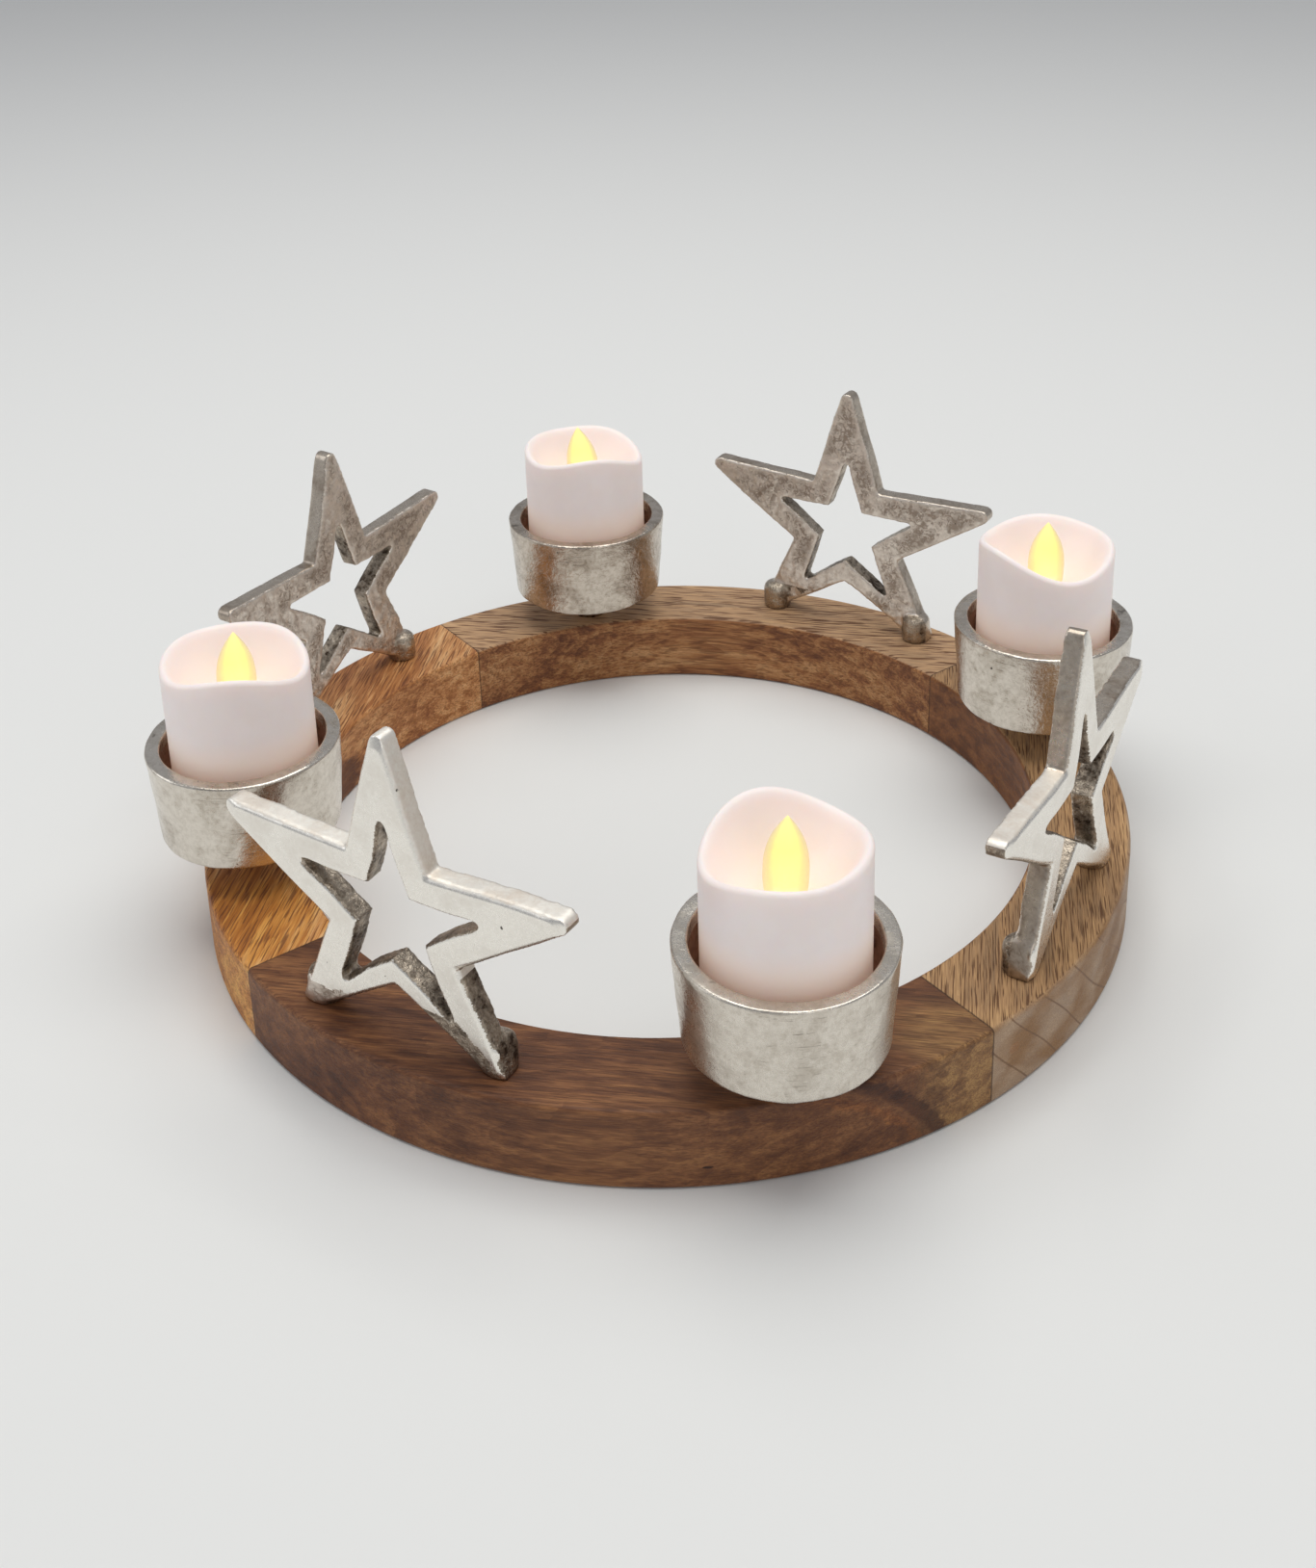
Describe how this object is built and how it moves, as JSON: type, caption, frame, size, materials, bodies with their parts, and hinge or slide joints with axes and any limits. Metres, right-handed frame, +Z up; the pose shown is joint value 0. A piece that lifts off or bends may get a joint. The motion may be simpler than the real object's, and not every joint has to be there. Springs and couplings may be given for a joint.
{
  "type": "advent candle holder",
  "caption": "Wooden ring of glued segments carrying cast openwork stars and cast cups on stems, each cup holding a battery candle with a wavy rim and a flame tip.",
  "frame": {"origin": "centre of the ring, level with its underside", "axes": "+Z up; the stars stand on +X, +Y, -X and -Y and the cups about halfway between them"},
  "size_m": [0.25, 0.25, 0.0999],
  "materials": {
    "wood_front": "dark oiled fruitwood, closed grain",
    "wood_right": "mid-brown oiled wood with dark pores and fine checks",
    "wood_back": "tan oiled wood with cathedral figure on its inner wall",
    "wood_left": "light orange oiled wood with a dark heart patch",
    "star_metal": "sand-cast, face and edges polished",
    "cup_metal": "sand-cast, brushed, finely pitted",
    "screw_steel": "zinc plated",
    "candle_shell": "warm white, wax-like, translucent",
    "flame": "amber, frosted, lit from inside",
    "led_lens": "clear lens, lit",
    "base_plastic": "moulded, satin",
    "cover_plastic": "moulded, satin",
    "cell_steel": "nickel plated",
    "contact_metal": "stamped strip, bright",
    "switch_plastic": "moulded, fine grain"
  },
  "bodies": {
    "holder": {"ring_segment_front": "wood_front", "ring_segment_right": "wood_right", "ring_segment_back": "wood_back", "ring_segment_left": "wood_left", "star_front": "star_metal", "star_right": "star_metal", "star_back": "star_metal", "star_left": "star_metal", "cup_front_right": "cup_metal", "cup_back_right": "cup_metal", "cup_back_left": "cup_metal", "cup_front_left": "cup_metal", "star_screws": "screw_steel", "cup_screws": "screw_steel"},
    "candle_front_right": {"candle_shell_front_right": "candle_shell", "flame_front_right": "flame", "led_front_right": "led_lens", "candle_base_front_right": "base_plastic", "coin_cell_front_right": "cell_steel", "positive_contact_front_right": "contact_metal", "negative_contact_front_right": "contact_metal"},
    "cover_front_right": {"battery_cover_front_right": "cover_plastic"},
    "switch_front_right": {"switch_slide_front_right": "switch_plastic"},
    "candle_back_right": {"candle_shell_back_right": "candle_shell", "flame_back_right": "flame", "led_back_right": "led_lens", "candle_base_back_right": "base_plastic", "coin_cell_back_right": "cell_steel", "positive_contact_back_right": "contact_metal", "negative_contact_back_right": "contact_metal"},
    "cover_back_right": {"battery_cover_back_right": "cover_plastic"},
    "switch_back_right": {"switch_slide_back_right": "switch_plastic"},
    "candle_back_left": {"candle_shell_back_left": "candle_shell", "flame_back_left": "flame", "led_back_left": "led_lens", "candle_base_back_left": "base_plastic", "coin_cell_back_left": "cell_steel", "positive_contact_back_left": "contact_metal", "negative_contact_back_left": "contact_metal"},
    "cover_back_left": {"battery_cover_back_left": "cover_plastic"},
    "switch_back_left": {"switch_slide_back_left": "switch_plastic"},
    "candle_front_left": {"candle_shell_front_left": "candle_shell", "flame_front_left": "flame", "led_front_left": "led_lens", "candle_base_front_left": "base_plastic", "coin_cell_front_left": "cell_steel", "positive_contact_front_left": "contact_metal", "negative_contact_front_left": "contact_metal"},
    "cover_front_left": {"battery_cover_front_left": "cover_plastic"},
    "switch_front_left": {"switch_slide_front_left": "switch_plastic"}
  },
  "joints": [
    {"name": "candle_front_right_lift", "type": "slide", "parent": "holder", "child": "candle_front_right", "axis": [0, 0, 1], "range_m": [0, 0.03]},
    {"name": "cover_front_right_turn", "type": "hinge", "parent": "candle_front_right", "child": "cover_front_right", "pos_m": [0.08025, -0.07857, 0.0385], "axis": [0, 0, -1], "range_deg": [0, 35]},
    {"name": "switch_front_right_slide", "type": "slide", "parent": "candle_front_right", "child": "switch_front_right", "axis": [1, 0, 0], "range_m": [0, 0.0024]},
    {"name": "candle_back_right_lift", "type": "slide", "parent": "holder", "child": "candle_back_right", "axis": [0, 0, 1], "range_m": [0, 0.03]},
    {"name": "cover_back_right_turn", "type": "hinge", "parent": "candle_back_right", "child": "cover_back_right", "pos_m": [0.07716, 0.08441, 0.0385], "axis": [0, 0, -1], "range_deg": [0, 35]},
    {"name": "switch_back_right_slide", "type": "slide", "parent": "candle_back_right", "child": "switch_back_right", "axis": [1, 0, 0], "range_m": [0, 0.0024]},
    {"name": "candle_back_left_lift", "type": "slide", "parent": "holder", "child": "candle_back_left", "axis": [0, 0, 1], "range_m": [0, 0.03]},
    {"name": "cover_back_left_turn", "type": "hinge", "parent": "candle_back_left", "child": "cover_back_left", "pos_m": [-0.07704, 0.08232, 0.0385], "axis": [0, 0, -1], "range_deg": [0, 35]},
    {"name": "switch_back_left_slide", "type": "slide", "parent": "candle_back_left", "child": "switch_back_left", "axis": [1, 0, 0], "range_m": [0, 0.0024]},
    {"name": "candle_front_left_lift", "type": "slide", "parent": "holder", "child": "candle_front_left", "axis": [0, 0, 1], "range_m": [0, 0.03]},
    {"name": "cover_front_left_turn", "type": "hinge", "parent": "candle_front_left", "child": "cover_front_left", "pos_m": [-0.07979, -0.07449, 0.0385], "axis": [0, 0, -1], "range_deg": [0, 35]},
    {"name": "switch_front_left_slide", "type": "slide", "parent": "candle_front_left", "child": "switch_front_left", "axis": [1, 0, 0], "range_m": [0, 0.0024]}
  ]
}
